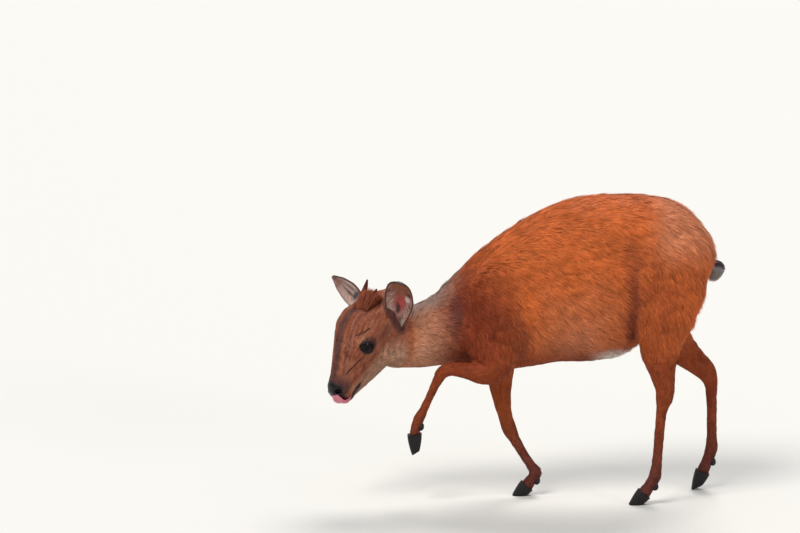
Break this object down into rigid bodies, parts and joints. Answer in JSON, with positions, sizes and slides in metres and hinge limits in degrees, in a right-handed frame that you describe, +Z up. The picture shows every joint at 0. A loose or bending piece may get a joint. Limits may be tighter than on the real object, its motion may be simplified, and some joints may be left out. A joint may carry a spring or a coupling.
{
  "type": "red forest duiker",
  "caption": "Small forest antelope with short horns, walking with its head lowered and turned, one foreleg lifted and its tongue out; a still life-size model.",
  "frame": {"origin": "on the floor under the middle of the animal's length and width", "axes": "+Z up, the animal faces -X and its left side is towards -Y"},
  "size_m": [0.6146, 0.181, 0.4744],
  "materials": {
    "coat": "short chestnut coat",
    "leg_coat": "short dark coat of the lower legs",
    "horn": "dark horn, satin",
    "hoof": "black hoof horn, satin",
    "eye": "wet black eye",
    "tongue": "wet pink tongue",
    "ear": "thin skin with short hair",
    "tail_coat": "long dark hair"
  },
  "bodies": {
    "root": {"ear_left": "ear", "ear_right": "ear", "eye_left": "eye", "eye_right": "eye", "foreleg_left_cannon": "leg_coat", "foreleg_left_dewclaw_inner": "hoof", "foreleg_left_dewclaw_outer": "hoof", "foreleg_left_forearm": "coat", "foreleg_left_hoof_inner": "hoof", "foreleg_left_hoof_outer": "hoof", "foreleg_left_pastern": "leg_coat", "foreleg_right_cannon": "leg_coat", "foreleg_right_dewclaw_inner": "hoof", "foreleg_right_dewclaw_outer": "hoof", "foreleg_right_forearm": "coat", "foreleg_right_hoof_inner": "hoof", "foreleg_right_hoof_outer": "hoof", "foreleg_right_pastern": "leg_coat", "head": "coat", "hindleg_left_cannon": "leg_coat", "hindleg_left_dewclaw_inner": "hoof", "hindleg_left_dewclaw_outer": "hoof", "hindleg_left_gaskin": "coat", "hindleg_left_hoof_inner": "hoof", "hindleg_left_hoof_outer": "hoof", "hindleg_left_pastern": "leg_coat", "hindleg_right_cannon": "leg_coat", "hindleg_right_dewclaw_inner": "hoof", "hindleg_right_dewclaw_outer": "hoof", "hindleg_right_gaskin": "coat", "hindleg_right_hoof_inner": "hoof", "hindleg_right_hoof_outer": "hoof", "hindleg_right_pastern": "leg_coat", "horn_left": "horn", "horn_right": "horn", "neck": "coat", "tail": "tail_coat", "tongue": "tongue", "torso": "coat"}
  },
  "joints": []
}
